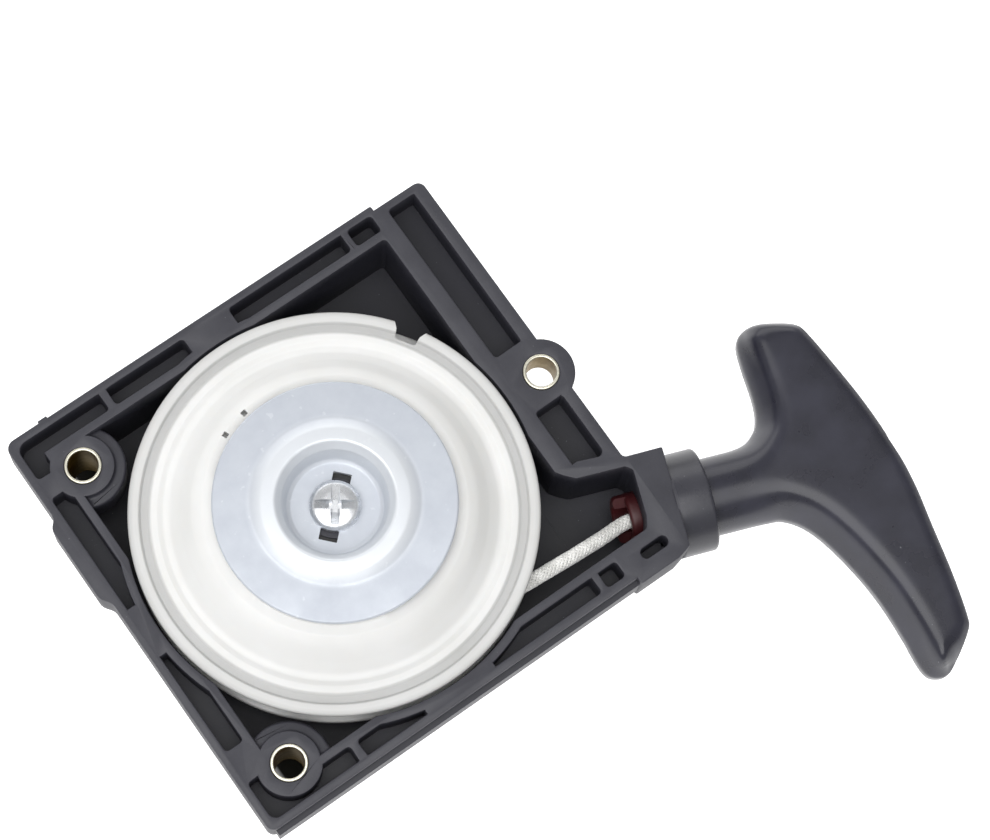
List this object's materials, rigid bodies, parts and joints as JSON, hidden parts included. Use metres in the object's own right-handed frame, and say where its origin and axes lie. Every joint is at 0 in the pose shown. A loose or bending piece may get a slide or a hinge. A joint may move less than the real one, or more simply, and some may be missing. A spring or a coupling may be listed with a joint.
{
  "type": "recoil starter",
  "caption": "Pull-rope recoil starter for a small two-stroke engine: open ribbed housing, sprung rope reel with pawls under a pressed plate, rope guide and T-handle.",
  "frame": {"origin": "on the crank axis, in the plane of the open rim that meets the engine", "axes": "+Z along the crank axis towards the engine, +X along the housing towards the pull handle"},
  "size_m": [0.1755, 0.1671, 0.0388],
  "materials": {
    "black_nylon": "moulded glass-filled nylon, fine matt grain",
    "handle_nylon": "moulded nylon, smooth satin",
    "white_nylon": "moulded natural nylon, satin",
    "zinc_plate": "pressed steel, bright zinc plated",
    "bright_screw": "plated steel, cross recess",
    "yellow_sleeve": "steel sleeve, yellow passivated",
    "brass_insert": "turned brass",
    "spring_steel": "blued spring strip",
    "plain_steel": "plain steel",
    "bush_red": "moulded red-brown bush",
    "bush_acetal": "natural acetal",
    "rope_white": "braided polyester cord"
  },
  "bodies": {
    "housing": {"housing": "black_nylon", "mount_sleeve_upper_left": "yellow_sleeve", "mount_sleeve_lower_left": "yellow_sleeve", "mount_sleeve_right": "yellow_sleeve", "rope_guide_bush": "bush_red", "post_insert": "brass_insert", "rewind_spring": "spring_steel", "spring_cover": "plain_steel", "cover_plate": "zinc_plate", "centre_screw": "bright_screw", "rope_run": "rope_white"},
    "reel": {"reel": "white_nylon", "reel_bush": "bush_acetal", "rope_windings": "rope_white", "reel_rope_knot": "rope_white", "pawl_pin_a": "plain_steel", "pawl_pin_b": "plain_steel", "pawl_spring_a": "spring_steel", "pawl_spring_b": "spring_steel"},
    "pawl_a": {"pawl_a": "plain_steel"},
    "pawl_b": {"pawl_b": "plain_steel"},
    "handle": {"handle_grip": "handle_nylon", "handle_washer": "plain_steel", "handle_rope_knot": "rope_white"}
  },
  "joints": [
    {"name": "handle_pull", "type": "slide", "parent": "housing", "child": "handle", "axis": [0.9397, -0.342, 0], "range_m": [0, 0.65], "stiffness_N_per_m": 20, "springref_m": -0.5, "deforming": ["rope_run"]},
    {"name": "reel_spin", "type": "hinge", "parent": "housing", "child": "reel", "pos_m": [0, 0, -0.005], "axis": [0, 0, 1], "range_deg": [0, 1021], "deforming": ["rewind_spring"]},
    {"name": "pawl_a_swing", "type": "hinge", "parent": "reel", "child": "pawl_a", "pos_m": [0.00073, -0.02099, 0.00852], "axis": [0, 0, -1], "range_deg": [0, 26], "stiffness_Nm_per_rad": 0.004, "springref_deg": -20.05},
    {"name": "pawl_b_swing", "type": "hinge", "parent": "reel", "child": "pawl_b", "pos_m": [-0.00073, 0.02099, 0.00852], "axis": [0, 0, -1], "range_deg": [0, 26], "stiffness_Nm_per_rad": 0.004, "springref_deg": -20.05}
  ],
  "couplings": [
    {"joint": "reel_spin", "follows": "handle_pull", "rad_per_m": 27.4},
    {"joint": "pawl_b_swing", "follows": "pawl_a_swing", "ratio": 1}
  ]
}
